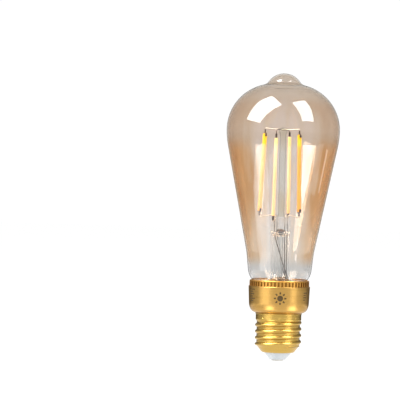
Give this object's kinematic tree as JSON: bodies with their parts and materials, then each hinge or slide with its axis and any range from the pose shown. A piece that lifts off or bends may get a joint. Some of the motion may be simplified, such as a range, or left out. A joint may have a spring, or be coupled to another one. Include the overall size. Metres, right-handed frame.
{
  "type": "smart filament light bulb",
  "caption": "Pear-shaped amber glass filament lamp with a sealed tip, warm and cool filaments, a gold driver collar and an E27 screw cap.",
  "frame": {"origin": "middle of the centre contact's flat face, the lowest point of the lamp", "axes": "+Z along the lamp's axis from the cap to the glass tip; -Y is the front, where the collar's mark is"},
  "size_m": [0.064, 0.064, 0.1626],
  "materials": {
    "envelope_glass": "clear glass with an amber tint inside, fading out near the neck",
    "stem_glass": "clear glass",
    "ring_gold": "satin orange gold",
    "collar_gold": "satin gold",
    "cap_brass": "polished brass",
    "insulator": "smooth, off-white",
    "contact_tin": "tinned, dull",
    "cement": "dull off-white adhesive",
    "phosphor_warm": "satin silicone, deep yellow-orange",
    "phosphor_cool": "satin silicone, pale yellow",
    "tab_metal": "stamped, dull",
    "wire_metal": "drawn wire",
    "board_laminate": "solder-masked laminate, green",
    "module_laminate": "solder-masked laminate, blue",
    "shield_can": "pressed tinplate",
    "copper": "bare copper",
    "capacitor_sleeve": "shrink sleeve, black",
    "ferrite": "sintered, dark grey",
    "film_case": "dipped epoxy, dark red",
    "chip_black": "moulded epoxy, black",
    "chip_ceramic": "ceramic, pale",
    "resistor_case": "lacquered, grey-green",
    "terminal_tin": "tinned",
    "insulation_red": "wire insulation"
  },
  "bodies": {
    "root": {"glass_envelope": "envelope_glass", "stem_tube": "stem_glass", "exhaust_tube": "stem_glass", "glass_rod": "stem_glass", "filament_tabs": "tab_metal", "warm_bridge_wire": "wire_metal", "cool_bridge_wire": "wire_metal", "capping_cement": "cement", "knurled_ring": "ring_gold", "collar_shell": "collar_gold", "cap_shell": "cap_brass", "cap_insulator": "insulator", "centre_contact": "contact_tin", "driver_board": "board_laminate", "lead_terminals": "terminal_tin", "radio_module": "module_laminate", "radio_shield": "shield_can", "antenna_trace": "copper", "bulk_capacitor": "capacitor_sleeve", "inductor_core": "ferrite", "inductor_winding": "copper", "film_capacitor": "film_case", "bridge_rectifier": "chip_black", "driver_chips": "chip_black", "chip_resistors": "chip_ceramic", "fusible_resistor": "resistor_case", "live_wire": "insulation_red", "neutral_wire": "wire_metal", "warm_filament_left": "phosphor_warm", "warm_filament_right": "phosphor_warm", "cool_filament_left": "phosphor_cool", "cool_filament_right": "phosphor_cool", "warm_lead_left": "wire_metal", "warm_lead_right": "wire_metal", "cool_lead_left": "wire_metal", "cool_lead_right": "wire_metal"}
  },
  "joints": []
}
